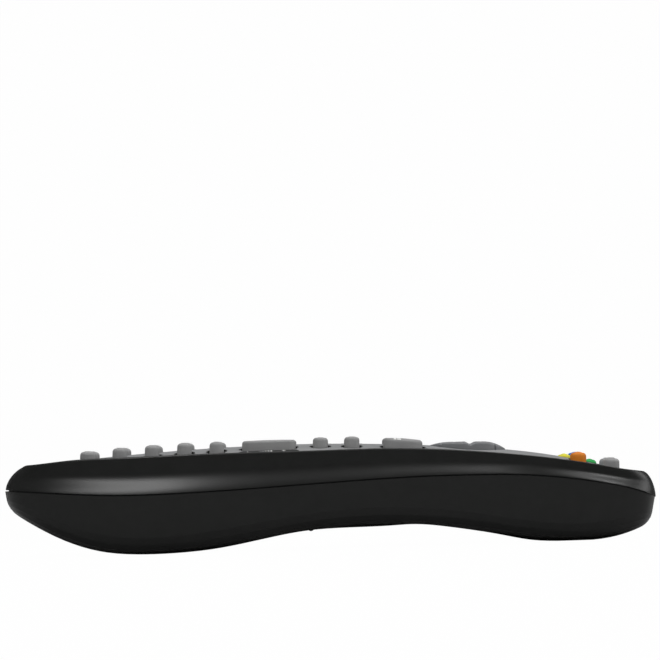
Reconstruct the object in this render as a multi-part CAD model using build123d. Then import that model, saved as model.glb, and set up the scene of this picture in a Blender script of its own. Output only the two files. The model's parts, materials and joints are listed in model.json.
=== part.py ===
from build123d import *
import os
from math import copysign, cos, hypot, pi, radians, sin, sqrt, tan

# Media center remote control. All lengths are in millimetres.
# The model is drawn lying as it is moulded: +X towards the infrared end, +Z out of the keys.
# At the end it is set down on a table, on the battery bulge and the pad under the head.

# Case outline seen from above
length = 225.0
tail_half_width = 28.6
waist_half_width = 24.0
head_half_width = 27.6
bulge_x = -60.0
waist_x = 15.0
head_x = 75.0
tail_roundness = 4.0
head_roundness = 4.5
outline_points = 24

# Case walls
wall = 2.0
side_draft = 10.0
belly_radius = 6.0
belly_turns = [0, 25, 48, 70]
room_bevel = 1.8
room_bevel_height = 2.6
end_sharpness = 0.5
top_overhang = 0.3
seam_gap = 0.5
seam_depth = 1.5
lip_inner = 2.6
lip_root = 3.0
lip_from = 94.0
cove_at_waist = 1.5
cove_at_bulge = 3.0
flare_start = 0.16
flare_end = 0.52
wall_levels = [0.0, 0.07, 0.14, 0.21, 0.28, 0.36, 0.45, 0.6, 0.75, 0.88, 0.95, 0.985, 1.0]
wall_lean = 0.25
rim_start = 0.88
rim_radius = 1.2
tail_set_back = 0.4
tail_depth = 8.6
head_depth = 4.6
rim_land = 2.5
overrun = 16.0

# Face plate and its seat
plate_thickness = 2.0
plate_crown_radius = 85.0
plate_clearance = 0.15
ledge_width = 1.6
ledge_thickness = 1.4

# Keys
key_travel = 0.8
hole_clearance = 0.55
flange_width = 0.8
flange_thickness = 0.8
flange_gap = 0.25
notch_clearance = 0.4
notch_height = 1.2
stem_width = 3.0
key_edge = 0.6

# Board and key mat, level with the mould
board_top = 23.0
board_thickness = 1.4
mat_thickness = 0.7
dome_height = 1.5
dome_width = 4.0
dome_gap = 0.9

# Battery bay and door
cell_diameter = 14.5
cell_length = 50.5
cell_axis_height = 12.7
cell_spacing = 15.1
bay_start = -88.5
bay_step = -33.7
bay_end = -6.0
bay_half_width = 15.3
bay_ceiling = 20.3
step_ceiling = 13.0
bay_wall = 2.4
contact_thickness = 0.4
door_start = -88.0
door_end = -4.0
door_half_width = 16.8
door_corner = 6.0
door_thickness = 2.0
door_clearance = 0.25

# Pad ground flat under the head where the case touches the table
rest_flat_depth = 0.12

half_length = length / 2


def side_curve(points):
    """Smooth curve in the XZ plane, run on past both ends of the case."""
    (x0, z0), (x1, z1) = points[0], points[1]
    (x2, z2), (x3, z3) = points[-2], points[-1]
    first = (-half_length - overrun, z0 - (z1 - z0) / (x1 - x0) * (x0 + half_length + overrun))
    last = (half_length + overrun, z3 + (z3 - z2) / (x3 - x2) * (half_length + overrun - x3))
    return Edge.make_spline([Vector(x, 0, z) for x, z in (first, *points, last)])


# Lines of the case seen from the side
bottom_line = side_curve([
    (-108.3, 13.6), (-93.6, 5.7), (-77.0, 0.7), (-67.5, 0.0), (-55.2, 0.3), (-38.7, 2.0),
    (-22.2, 5.4), (-8.0, 8.1), (8.0, 9.2), (22.0, 9.9), (27.6, 10.3), (41.8, 9.3),
    (58.4, 6.8), (69.4, 4.9), (80.6, 4.6), (90.6, 5.0), (100.3, 6.8), (109.0, 10.2)])
parting_line = side_curve([
    (-112.3, 21.7), (-93.6, 20.8), (-72.8, 20.2), (-52.0, 20.9), (-31.3, 22.2), (-10.5, 23.8),
    (10.3, 25.4), (31.1, 26.7), (51.8, 27.35), (65.7, 27.35), (79.5, 26.4), (93.4, 24.6),
    (103.8, 22.5), (112.5, 19.9)])
rim_line = side_curve([
    (-112.5, 30.0), (-102.6, 30.6), (-88.8, 32.2), (-74.9, 33.0), (-41.7, 34.5), (-8.4, 35.5),
    (24.8, 36.4), (47.0, 35.6), (69.2, 33.8), (91.3, 30.9), (101.0, 29.3), (108.5, 28.5)])
crown_line = side_curve([
    (-100.5, 30.6), (-86.7, 32.2), (-66.6, 34.3), (-44.4, 36.15), (-11.2, 37.8), (13.7, 37.95),
    (33.8, 37.5), (60.8, 36.05), (77.5, 34.0), (94.8, 30.6), (103.8, 28.7)])


def height_on(curve, x):
    """Height of a side curve above one point of the length."""
    low, high = 0.0, 1.0
    for _ in range(32):
        middle = (low + high) / 2
        if (curve @ middle).X < x:
            low = middle
        else:
            high = middle
    return (curve @ low).Z


def crown_height(x, y):
    return height_on(crown_line, x) - y * y / (2 * plate_crown_radius)


def ease(share):
    share = min(max(share, 0.0), 1.0)
    return (1 - cos(pi * share)) / 2


def half_width(x):
    if x < waist_x:
        waisting = ease((x - bulge_x) / (waist_x - bulge_x))
        return tail_half_width + (waist_half_width - tail_half_width) * waisting
    return waist_half_width + (head_half_width - waist_half_width) * ease((x - waist_x) / (head_x - waist_x))


def cove(x):
    """How far the upper wall stands in from the flared lip at the seam."""
    flare = (half_width(x) - waist_half_width) / (tail_half_width - waist_half_width)
    return cove_at_waist + (cove_at_bulge - cove_at_waist) * flare


def outline_point(angle):
    x = half_length * cos(angle)
    power = head_roundness if x > 0 else tail_roundness
    side = max(1 - abs(cos(angle)) ** power, 0) ** (1 / power)
    return x, copysign(half_width(x) * side, sin(angle))


def outline_ring(inset, level):
    """Points round the outline, moved in by inset(x, end_share) and lifted to level(x, end_share)."""
    points = []
    for index in range(outline_points):
        turn = 2 * pi * index / outline_points
        angle = turn - 0.35 * sin(2 * turn)
        x, y = outline_point(angle)
        x0, y0 = outline_point(angle - 0.01)
        x1, y1 = outline_point(angle + 0.01)
        run = hypot(x1 - x0, y1 - y0)
        nx, ny = (y1 - y0) / run, (x0 - x1) / run
        end_share = nx * nx
        distance = inset(x, end_share)
        x -= nx * distance
        points.append(Vector(x, y - ny * distance, level(x, end_share)))
    return points


def outline_wire(inset, level):
    return Wire([Edge.make_spline(outline_ring(inset, level), periodic=True)])


def wall_inset(cove_share, extra, at_tail, at_head):
    """Inset that is a share of the cove along the sides and a stated depth at each end."""
    def inset(x, end_share):
        side = cove(x) * cove_share + extra
        end = at_head if x > 0 else at_tail
        return side + (end - side) * end_share
    return inset


def above_seam(share):
    """Level between the seam and the rim."""
    def level(x, end_share):
        seam = height_on(parting_line, x)
        return seam + share * (height_on(rim_line, x) - seam)
    return level


def flat_level(z):
    return lambda x, end_share: z


def prism(inset, low=-20.0, high=60.0):
    """Upright solid inside one flat outline."""
    face = Face(outline_wire(inset, flat_level(low)))
    return extrude(face, high - low, dir=(0, 0, 1))


def space_above(curve, lift):
    """Everything over a side curve."""
    return side_region(curve, lift, 70.0)


def space_below(curve, lift):
    """Everything under a side curve."""
    return side_region(curve, lift, -30.0)


def side_region(curve, lift, far):
    edge = Pos(0, 0, lift) * curve
    start, end = edge @ 0, edge @ 1
    corners = [end, Vector(end.X, 0, far), Vector(start.X, 0, far), start]
    lines = [Edge.make_line(a, b) for a, b in zip(corners, corners[1:])]
    return extrude(Face(Wire([edge, *lines])), 60, both=True)


def crowned_slab(low, high):
    """Layer between two lifts of the crowned surface of the face plate."""
    reach = 34.0
    stations = 9
    sections = []
    for index in range(stations):
        x = -half_length - 4 + (length + 8) * index / (stations - 1)
        arcs = []
        for lift in (low, high):
            ends = [Vector(x, side * reach, crown_height(x, reach) + lift) for side in (-1, 1)]
            arcs.append(Edge.make_three_point_arc(ends[0], Vector(x, 0, crown_height(x, 0) + lift), ends[1]))
        sides = [Edge.make_line(arcs[0] @ end, arcs[1] @ end) for end in (0, 1)]
        sections.append(Wire([arcs[0], sides[1], arcs[1], sides[0]]))
    return Solid.make_loft(sections, False)


plate_edge = wall_inset(1.0, rim_land, 10.0, 6.5)


def plate_inset(extra):
    return lambda x, end_share: plate_edge(x, end_share) + extra


def flare(height):
    """Share of the cove reached at a share of the wall's height, steepest a fifth of the way up."""
    def step(share):
        return share * share * (3 - 2 * share)
    start = step(flare_start)
    return (step(min(flare_start + height * (1 - flare_start) / flare_end, 1.0)) - start) / (1 - start)


def upper_wall(height):
    """Section of the upper shell's wall at a share of its height."""
    turned = max(height - rim_start, 0.0) / (1 - rim_start)
    rim = rim_radius * (1 - sqrt(1 - turned * turned))
    ending = 1 - (1 - height ** 1.7) ** 0.55
    at_tail = tail_set_back + (tail_depth - tail_set_back) * ending
    inset = wall_inset(flare(height), wall_lean * height + rim, at_tail, head_depth * ending)
    return outline_wire(inset, above_seam(height))


# Upper shell: a soft flare down to the seam, a steep wall and a rounded rim
def make_top_case():
    sections = [
        outline_wire(wall_inset(0, 0, tail_set_back, 0), flat_level(5.0)),
        *[upper_wall(height) for height in wall_levels],
        outline_wire(plate_inset(0.1), above_seam(0.995)),
        outline_wire(plate_inset(0.1), flat_level(48.0))]
    shell = Solid.make_loft(sections, True) - space_below(parting_line, seam_gap / 2)
    pocket = prism(plate_edge) & crowned_slab(-plate_thickness, 30.0)
    ledge_line_drop = plate_thickness + ledge_thickness + 2.2
    cavity = prism(wall_inset(1.0, wall + 0.4, 5.0, 4.5)) & space_below(crown_line, -ledge_line_drop)
    opening = prism(plate_inset(ledge_width))
    return shell - pocket - cavity - opening - Compound(ledge_notches)


def drafted(inset):
    """Inset of the lower shell's wall, leaning in below the parting line."""
    slope = tan(radians(side_draft))
    return lambda x, z: inset + slope * (height_on(parting_line, x) - z)


# Lower shell before it is hollowed: drafted walls and a rounded belly
def solid_lower():
    wall_at = drafted(top_overhang)

    def ring(across, up):
        """Ring at shares of the belly's radius in from the wall and up from the floor."""
        def level(x, end_share):
            return height_on(bottom_line, x) + up * belly_radius * (1 - end_sharpness * end_share)

        def inset_at(x, end_share):
            inward = across * belly_radius * (1 - end_sharpness * end_share)
            return wall_at(x, level(x, end_share)) + inward
        return outline_wire(inset_at, level)

    def flat_ring(z, across):
        return outline_wire(lambda x, end_share: wall_at(x, z) + across * belly_radius, flat_level(z))

    turns = [radians(turn) for turn in belly_turns]
    sections = [flat_ring(40.0, 0), *[ring(1 - cos(turn), 1 - sin(turn)) for turn in turns],
                ring(1.5, -0.2), flat_ring(-8.0, 1.5)]
    return Solid.make_loft(sections, True) & space_above(bottom_line, 0)


# Room inside the lower shell: straight facets with a bevel over the rounded belly
def lower_room():
    wall_at = drafted(top_overhang + wall)

    def facet_ring(inward, level):
        points = outline_ring(lambda x, end_share: wall_at(x, level(x, end_share)) + inward, level)
        return Wire.make_polygon(points, close=True)

    def over_floor(up):
        return lambda x, end_share: height_on(bottom_line, x) + wall + up

    sections = [facet_ring(0, flat_level(40.0)), facet_ring(0, over_floor(room_bevel_height)),
                facet_ring(room_bevel, over_floor(0)), facet_ring(2 * room_bevel, flat_level(-8.0))]
    return Solid.make_loft(sections, True) & space_above(bottom_line, wall)


def block(x0, x1, y0, y1, z0, z1):
    return Pos((x0 + x1) / 2, (y0 + y1) / 2, (z0 + z1) / 2) * Box(x1 - x0, y1 - y0, z1 - z0)


def rod(x, y, z0, z1, diameter):
    return Pos(x, y, (z0 + z1) / 2) * Cylinder(diameter / 2, z1 - z0)


# Fasteners
board_screw_places = [(-93.5, -8.0), (-93.5, 8.0), (69.5, -10.0), (69.5, 10.0)]
case_screw_places = [(-30.5, -6.0), (-30.5, 6.0)]
board_screw = 1.9
case_screw = 2.5
screw_clearance = 0.05
boss_wall = 1.4


def door_outline(grow):
    width = 2 * (door_half_width + grow)
    sketch = RectangleRounded(door_end - door_start + 2 * grow, width, door_corner + grow)
    return Pos((door_start + door_end) / 2, 0, -20) * extrude(sketch, 60)


outer_lower = solid_lower()
hollow_lower = outer_lower - lower_room()


def window_block(grow):
    return block(window_start, half_length + 5, -window_half_width - grow, window_half_width + grow,
                 window_low - grow, window_high + grow)


window_start = 103.0
window_half_width = 10.0
window_low = 12.6
window_high = 17.6


def make_bottom_case():
    shell = hollow_lower - space_above(parting_line, -seam_gap / 2)
    lip = prism(wall_inset(0, seam_depth, seam_depth, seam_depth)) \
        - prism(wall_inset(0, lip_inner, lip_inner, lip_inner))
    lip &= space_above(parting_line, -lip_root) & space_below(parting_line, seam_gap / 2 - 0.05)
    for side in (-1, 1):
        shell += lip & (Pos(side * (half_length + lip_from) / 2, 0, 20) * Box(half_length - lip_from, 60, 60))
    bay = block(bay_start - bay_wall, bay_end + bay_wall, -bay_half_width - bay_wall,
                bay_half_width + bay_wall, -5, bay_ceiling + 1.0)
    bay -= block(bay_step + bay_wall, bay_end + 5, -30, 30, step_ceiling + bay_wall, 40)
    bay += Compound([rod(x, y, step_ceiling, bay_ceiling + 1.0, case_screw + 3) for x, y in case_screw_places])
    shell = shell + (bay & outer_lower)
    inside = block(bay_start, bay_step, -bay_half_width, bay_half_width, -5, bay_ceiling)
    inside += block(bay_step, bay_end, -bay_half_width, bay_half_width, -5, step_ceiling)
    shell -= inside & space_above(bottom_line, door_thickness)
    shell -= door_outline(door_clearance) & space_below(bottom_line, door_thickness + door_clearance)
    shell -= block(bay_start - bay_wall - 1, bay_start + 1, -2.3, 2.3, 5.0, 8.6) \
        & space_above(bottom_line, wall)
    for x, y in case_screw_places:
        shell -= rod(x, y, step_ceiling - 1, 40, case_screw + 0.4)
    return shell - window_block(0.1)


def make_battery_door():
    door = outer_lower & door_outline(0) & space_below(bottom_line, door_thickness)
    tab_root = door_start + 3.5
    door += block(door_start - 2.3, tab_root, -1.7, 1.7, 6.8, 7.8)
    door += block(door_start + 0.4, tab_root, -1.7, 1.7, 3.5, 6.9)
    latch_x = bay_end - 1.6
    door += block(latch_x, latch_x + 1.2, -4.0, 4.0, height_on(bottom_line, latch_x) + 1.0, step_ceiling - 0.4)
    grip = Pos(latch_x + 1.0, 0, height_on(bottom_line, latch_x) + 0.8) * Rot(90, 0, 0) * Cylinder(1.2, 12)
    return door + (grip - space_above(bottom_line, 1.0))


def make_ir_window():
    return hollow_lower & window_block(0)


def make_face_plate(holes):
    plate = crowned_slab(-plate_thickness, 0) & prism(plate_inset(plate_clearance))
    plate -= holes
    for x, y in board_screw_places:
        top = crown_height(x, y) - plate_thickness / 2
        plate += rod(x, y, board_top, top, board_screw + 2 * boss_wall)
    for x, y in case_screw_places:
        top = crown_height(x, y) - plate_thickness / 2
        plate += rod(x, y, bay_ceiling + 1.05, top, case_screw + 2 * boss_wall)
    for x, y in board_screw_places:
        plate -= rod(x, y, board_top - 1, board_top + 5, board_screw + 2 * screw_clearance)
    for x, y in case_screw_places:
        plate -= rod(x, y, bay_ceiling, bay_ceiling + 8, case_screw + 2 * screw_clearance)
    return plate


def plate_underside(x, y, half_x, half_y):
    """Lowest point of the plate's underside over a flange."""
    corners = [(x + sx * half_x, abs(y) + half_y) for sx in (-1, 0, 1)]
    return min(crown_height(cx, cy) for cx, cy in corners) - plate_thickness


def key_body(outline, x, y, size_x, size_y, top, edge=key_edge, tilt=0.0):
    """Cap through the plate, flange under it and a stem down towards the mat."""
    flange_top = plate_underside(x, y, size_x / 2 + flange_width, size_y / 2 + flange_width) - flange_gap
    flange_bottom = flange_top - flange_thickness
    stem_bottom = min(flange_bottom, board_top + mat_thickness + dome_height + dome_gap)
    cap = extrude(outline(0), top - flange_bottom)
    if tilt:
        cap -= Pos(0, 0, top - flange_bottom) * Rot(0, tilt, 0) * Pos(0, 0, 5) * Box(80, 80, 10)
    rim = cap.edges().group_by(Axis.Z)[-1] if not tilt else cap.faces().sort_by(Axis.Z)[-1].edges()
    cap = chamfer(rim, edge)
    flange = extrude(Rectangle(size_x + 2 * flange_width, size_y + 2 * flange_width), flange_thickness)
    key = Pos(x, y, flange_bottom) * (cap + flange)
    if flange_bottom - stem_bottom > 0.2:
        key += block(x - stem_width / 2, x + stem_width / 2, y - stem_width / 2, y + stem_width / 2,
                     stem_bottom, flange_bottom)
    hole = Pos(x, y, flange_bottom) * extrude(outline(hole_clearance), 20)
    domes.append((x, y, stem_bottom - dome_gap))
    if abs(y) > 8 and (x < -65 or x > 90):
        reach_x = size_x / 2 + flange_width + notch_clearance
        reach_y = size_y / 2 + flange_width + notch_clearance
        ledge_notches.append(block(x - reach_x, x + reach_x, y - reach_y, y + reach_y,
                                   flange_bottom - key_travel - notch_clearance, flange_top + notch_height))
    return key, hole


def rounded(size_x, size_y, corner):
    return lambda grow: RectangleRounded(size_x + 2 * grow, size_y + 2 * grow, corner + grow)


def oval(size_x, size_y):
    return lambda grow: Ellipse(size_x / 2 + grow, size_y / 2 + grow)


keys = {}
holes = []
domes = []
ledge_notches = []


def add_key(name, outline, x, y, size_x, size_y, top, edge=key_edge, tilt=0.0):
    keys[name], hole = key_body(outline, x, y, size_x, size_y, top, edge, tilt)
    holes.append(hole)


# Number pad: five rows of three keys
number_rows = [-83.3, -72.2, -61.1, -50.0, -38.9]
number_tops = [35.3, 36.5, 37.4, 38.2, 38.6]
column_offset = 15.4
number_size = (5.1, 7.6)
number_names = [
    ["clear_key", "key_0", "enter_key"],
    ["key_7", "key_8", "key_9"],
    ["key_4", "key_5", "key_6"],
    ["key_1", "key_2", "key_3"],
    ["record_key", "stop_key", "pause_key"]]


def make_number_pad():
    for x, top, names in zip(number_rows, number_tops, number_names):
        for name, column in zip(names, (1, 0, -1)):
            add_key(name, rounded(*number_size, 2.2), x, column * column_offset, *number_size, top)


# Two long rockers with one round key between them
rocker_x = -21.0
rocker_size = (18.6, 7.6)
rocker_offset = 14.6


def make_rockers():
    for name, column in (("channel_rocker", 1), ("volume_rocker", -1)):
        add_key(name, rounded(*rocker_size, 3.2), rocker_x, column * rocker_offset, *rocker_size, 39.2,
                tilt=-1.8)
    add_key("mute_key", oval(7.4, 7.4), rocker_x, 0, 7.4, 7.4, 39.4)


# Two rows of small keys
small_rows = [-3.3, 7.5]
small_tops = [40.1, 40.4]
small_size = (5.4, 6.6)
small_offset = 13.4
small_names = [["rewind_key", "play_key", "forward_key"], ["skip_back_key", "guide_key", "skip_ahead_key"]]


def make_small_keys():
    for x, top, names in zip(small_rows, small_tops, small_names):
        for name, column in zip(names, (1, 0, -1)):
            add_key(name, rounded(*small_size, 2.5), x, column * small_offset, *small_size, top)


# Two large keys with the round home key between them
large_x = 25.0
large_size = (13.8, 8.2)
large_offset = 13.2
home_diameter = 10.4


def make_large_keys():
    for name, column in (("back_key", 1), ("info_key", -1)):
        add_key(name, rounded(*large_size, 3.9), large_x, column * large_offset, *large_size, 40.1, tilt=5.0,
                edge=1.0)
    add_key("home_key", oval(home_diameter, home_diameter), large_x, 0, home_diameter, home_diameter, 40.0)


# Navigation pad: four arc keys round a lower centre key, with one groove across
pad_x = 47.6
pad_radius = 13.3
pad_top = 38.75
pad_bevel = 4.0
pad_bevel_drop = 1.35
pad_inner_radius = 6.1
ok_radius = 5.3
ok_drop = 1.3
pad_gap = 0.8
pad_groove_width = 3.6
pad_groove_depth = 0.9


def make_navigation_pad():
    underside = plate_underside(pad_x, 0, pad_radius + flange_width, pad_radius + flange_width)
    flange_top = underside - flange_gap
    flange_bottom = flange_top - flange_thickness
    flat_radius = pad_radius - pad_bevel
    profile = Polyline(
        (pad_inner_radius, 0, flange_bottom), (pad_radius + flange_width, 0, flange_bottom),
        (pad_radius + flange_width, 0, flange_top), (pad_radius, 0, flange_top),
        (pad_radius, 0, pad_top - pad_bevel_drop), (flat_radius, 0, pad_top),
        (pad_inner_radius + 0.6, 0, pad_top), (pad_inner_radius, 0, pad_top - 0.5), close=True)
    ring = Pos(pad_x, 0, 0) * revolve(make_face(profile), Axis.Z)
    groove = Plane.XZ * Polyline(
        (-pad_groove_width / 2, 0), (0, -pad_groove_depth), (pad_groove_width / 2, 0), (0, 3), close=True)
    ring -= Pos(pad_x + 0.8, 0, pad_top) * extrude(make_face(groove), 40, both=True)
    reach = pad_radius * 3
    for name, angle in (("right_arrow", 0), ("up_arrow", 90), ("left_arrow", 180), ("down_arrow", 270)):
        wedge = make_face(Polyline((pad_gap * 0.7, 0), (reach, reach - pad_gap * 0.7),
                                   (reach, -reach + pad_gap * 0.7), close=True))
        sector = Pos(pad_x, 0, 0) * Rot(0, 0, angle) * extrude(wedge, 60)
        key = ring & sector
        direction = radians(angle)
        x = pad_x + cos(direction) * (pad_radius + pad_inner_radius) / 2
        y = sin(direction) * (pad_radius + pad_inner_radius) / 2
        stem_bottom = board_top + mat_thickness + dome_height + dome_gap
        key += block(x - stem_width / 2, x + stem_width / 2, y - stem_width / 2, y + stem_width / 2,
                     stem_bottom, flange_bottom)
        domes.append((x, y, stem_bottom - dome_gap))
        keys[name] = key
    ok_top = pad_top - ok_drop
    stem_bottom = board_top + mat_thickness + dome_height + dome_gap
    ok = extrude(Circle(ok_radius), ok_top - flange_bottom)
    ok = Pos(pad_x, 0, flange_bottom) * chamfer(ok.edges().group_by(Axis.Z)[-1], 0.5)
    ok += block(pad_x - stem_width / 2, pad_x + stem_width / 2, -stem_width / 2, stem_width / 2,
                stem_bottom, flange_bottom)
    keys["ok_key"] = ok
    domes.append((pad_x, 0, stem_bottom - dome_gap))
    holes.append(Pos(pad_x, 0, flange_bottom) * extrude(Circle(pad_radius + hole_clearance), 20))


# Four coloured keys in a diamond, then two grey keys at the front
colour_x = 85.6
colour_offset = 9.0
colour_spread = 4.4
front_x = 96.9
front_offset = 11.5


def make_front_keys():
    for name, column in (("blue_key", 1), ("orange_key", -1)):
        add_key(name, rounded(5.7, 6.4, 2.3), colour_x, column * colour_offset, 5.7, 6.4, 35.2)
    for name, side, top in (("yellow_key", -1, 34.6), ("green_key", 1, 32.8)):
        add_key(name, oval(5.0, 6.4), colour_x + side * colour_spread, 0, 5.0, 6.4, top, edge=0.6)
    for name, column in (("power_key", 1), ("media_key", -1)):
        add_key(name, rounded(5.6, 6.4, 2.4), front_x, column * front_offset, 5.6, 6.4, 33.2)


def make_circuit_board():
    margin = wall_inset(1.0, wall + 1.0, 13.0, 11.5)
    board = prism(margin, board_top - board_thickness, board_top)
    for x, y in board_screw_places:
        board -= rod(x, y, 0, 40, board_screw + 0.5)
    for x, y in case_screw_places:
        board -= rod(x, y, 0, 40, case_screw + 2 * boss_wall + 0.6)
    return board


def make_key_mat():
    top = board_top + mat_thickness
    mat = prism(plate_inset(ledge_width + 0.8), board_top, top)
    for x, y in board_screw_places:
        mat -= rod(x, y, 0, 40, board_screw + 2 * boss_wall + 0.6)
    for x, y in case_screw_places:
        mat -= rod(x, y, 0, 40, case_screw + 2 * boss_wall + 0.6)
    half = dome_width / 2
    raised = [block(x - half, x + half, y - half, y + half, board_top + mat_thickness / 2, dome_top)
              for x, y, dome_top in domes if dome_top > top + 0.1]
    return mat + raised


def make_cells():
    """Two AA cells side by side, the second one the other way round."""
    body_length = cell_length - 1.0
    cell = Rot(0, 90, 0) * (extrude(Circle(cell_diameter / 2), body_length)
                            + Pos(0, 0, body_length) * extrude(Circle(2.7), 1.0))
    first = Pos(bay_start + 3.75, -cell_spacing / 2, cell_axis_height) * cell
    second = Pos(bay_step - 3.75, cell_spacing / 2, cell_axis_height) * Rot(0, 0, 180) * cell
    return first, second


def make_springs():
    """A conical contact spring at the flat end of each cell."""
    room = 3.75 - contact_thickness - 0.2
    coil = Edge.make_helix(room / 3.2, room - 0.6, 3.6, angle=15)
    section = Plane(coil @ 0, z_dir=coil % 0) * RegularPolygon(0.35, 4)
    spring = sweep(section, path=Wire([coil]), is_frenet=True)
    first = Pos(bay_start + contact_thickness + 0.4, -cell_spacing / 2, cell_axis_height) * Rot(0, 90, 0) * spring
    second = Pos(bay_step - contact_thickness - 0.4, cell_spacing / 2, cell_axis_height) * Rot(0, -90, 0) * spring
    return Compound([first, second])


def make_contacts():
    plates = []
    for x in (bay_start + contact_thickness / 2, bay_step - contact_thickness / 2):
        for side in (-1, 1):
            y = side * cell_spacing / 2
            plates.append(Pos(x, y, cell_axis_height) * Box(contact_thickness, 9.0, 9.0))
    return Compound(plates)


def make_board_screws():
    screws = []
    for x, y in board_screw_places:
        under = board_top - board_thickness
        screws.append(rod(x, y, under - 1.4, under, 4.2) + rod(x, y, under, board_top + 4.5, board_screw))
    return Compound(screws)


def make_case_screws():
    screws = []
    for x, y in case_screw_places:
        screws.append(rod(x, y, step_ceiling - 1.6, step_ceiling, 4.6)
                      + rod(x, y, step_ceiling, bay_ceiling + 7.5, case_screw))
    return Compound(screws)


def make_ir_leds():
    """Two infrared lamps behind the window, hung from the board by their leads."""
    lamps = []
    lamp_z = (window_low + window_high) / 2 + 0.6
    for y in (-4.5, 4.5):
        bulb = Pos(window_start - 5.5, y, lamp_z) * Rot(0, 90, 0) * Cylinder(2.5, 5.0)
        bulb += Pos(window_start - 3.0, y, lamp_z) * Sphere(2.5)
        lead_x = window_start - 7.0
        for offset in (-1.27, 1.27):
            bulb += block(lead_x - 0.3, lead_x + 0.3, y + offset - 0.3, y + offset + 0.3,
                          lamp_z, board_top - board_thickness)
        lamps.append(bulb)
    return Compound(lamps)


def make_board_parts():
    """Chip, crystal and reservoir capacitor under the board, ahead of the battery bay."""
    under = board_top - board_thickness
    chip = block(6.0, 20.0, -4.5, 4.5, under - 1.6, under)
    crystal = block(26.0, 30.0, -5.5, 5.5, under - 3.4, under)
    capacitor = Pos(44.0, 0, under - 3.2) * Rot(90, 0, 0) * Cylinder(3.15, 11.0)
    return {"control_chip": chip, "crystal": crystal, "capacitor": capacitor}


# Resting on a table: the case is turned until the bulge and the pad under the head touch together
def lowest(turn, x0, x1):
    steps = 60
    heights = []
    for index in range(steps + 1):
        x = x0 + (x1 - x0) * index / steps
        heights.append(height_on(bottom_line, x) * cos(turn) - x * sin(turn))
    return min(heights)


def rest_turn():
    low, high = 0.0, radians(5.0)
    for _ in range(20):
        turn = (low + high) / 2
        if lowest(turn, -half_length, 0.0) < lowest(turn, 40.0, half_length) + rest_flat_depth:
            low = turn
        else:
            high = turn
    return (low + high) / 2


make_number_pad()
make_rockers()
make_small_keys()
make_large_keys()
make_navigation_pad()
make_front_keys()

first_cell, second_cell = make_cells()
parts = {
    "top_case": make_top_case(),
    "bottom_case": make_bottom_case(),
    "face_plate": make_face_plate(holes),
    "battery_door": make_battery_door(),
    "ir_window": make_ir_window(),
    "circuit_board": make_circuit_board(),
    "key_mat": make_key_mat(),
    "battery_1": first_cell,
    "battery_2": second_cell,
    "contact_plates": make_contacts(),
    "contact_springs": make_springs(),
    "board_screws": make_board_screws(),
    "case_screws": make_case_screws(),
    "ir_leds": make_ir_leds(),
    **make_board_parts(),
    **keys}

turn = rest_turn()
table_height = lowest(turn, -half_length, 0.0)
level = Rot(0, turn * 180 / pi, 0)
footprint = (level * Compound([parts["top_case"], parts["bottom_case"]])).bounding_box()
rest = Pos(-footprint.center().X, 0, -table_height) * level
table = block(head_x - 30, half_length, -100, 100, -20, 0)

os.makedirs("parts", exist_ok=True)
for name, shape in parts.items():
    placed = rest * shape
    if name == "bottom_case":
        placed = placed - table
    export_step(placed, f"parts/{name}.step")
print(len(parts), "parts, turned", turn * 180 / pi, "degrees, moved", rest.position)
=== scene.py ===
import json
from math import copysign, cos, hypot, pi, radians, sin, sqrt, tan
import bpy
import bmesh
import numpy as np
from mathutils import Matrix, Vector


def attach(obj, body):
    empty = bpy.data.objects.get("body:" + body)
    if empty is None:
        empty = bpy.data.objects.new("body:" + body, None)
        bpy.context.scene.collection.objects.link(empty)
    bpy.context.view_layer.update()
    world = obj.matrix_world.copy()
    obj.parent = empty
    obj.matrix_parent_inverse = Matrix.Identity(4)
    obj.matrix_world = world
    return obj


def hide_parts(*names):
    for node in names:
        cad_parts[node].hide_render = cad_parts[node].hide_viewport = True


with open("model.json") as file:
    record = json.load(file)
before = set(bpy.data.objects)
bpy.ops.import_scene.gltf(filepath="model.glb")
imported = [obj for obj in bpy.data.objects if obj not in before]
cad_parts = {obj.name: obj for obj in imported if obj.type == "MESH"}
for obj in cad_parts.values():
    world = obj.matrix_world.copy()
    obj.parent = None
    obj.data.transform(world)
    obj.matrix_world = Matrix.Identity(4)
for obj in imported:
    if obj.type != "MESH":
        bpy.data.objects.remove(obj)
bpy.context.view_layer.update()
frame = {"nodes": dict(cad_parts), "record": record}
nodes = frame["nodes"]
mm = 0.001

# The remote was drawn as it is moulded and then set down on its bulge and the pad under its head
resting = {"turn": radians(1.86659), "along": -0.95732 * mm, "up": -2.02997 * mm}
alongAxis = Vector((cos(resting["turn"]), 0, -sin(resting["turn"])))
upAxis = Vector((sin(resting["turn"]), 0, cos(resting["turn"])))


def placed(x, y, z):  # a point of the mould, in millimetres, where it lies on the table
    return alongAxis * x * mm + Vector((0, y * mm, 0)) + upAxis * z * mm + Vector((resting["along"], 0, resting["up"]))


# Colours and materials
patternSetup = {"patchDetail": 3.0, "patchStops": (0.3, 0.7)}


def srgb(text):
    channels = [int(text[i:i + 2], 16) / 255 for i in (1, 3, 5)]
    return [c / 12.92 if c <= 0.04045 else ((c + 0.055) / 1.055) ** 2.4 for c in channels] + [1]


def addNode(tree, kind, links=(), **settings):
    node = tree.nodes.new(kind)
    for name, value in settings.items():
        setattr(node, name, value)
    for target, value in links:
        socket = node.inputs[target]
        if isinstance(value, bpy.types.NodeSocket):
            tree.links.new(value, socket)
        else:
            socket.default_value = value
    return node


def newMaterial(name, settings):
    material = bpy.data.materials.new(name)
    material.use_nodes = True
    tree = material.node_tree
    shader = tree.nodes["Principled BSDF"]
    for socket, value in settings.items():
        shader.inputs[socket].default_value = value
    return tree, shader, material


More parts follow.
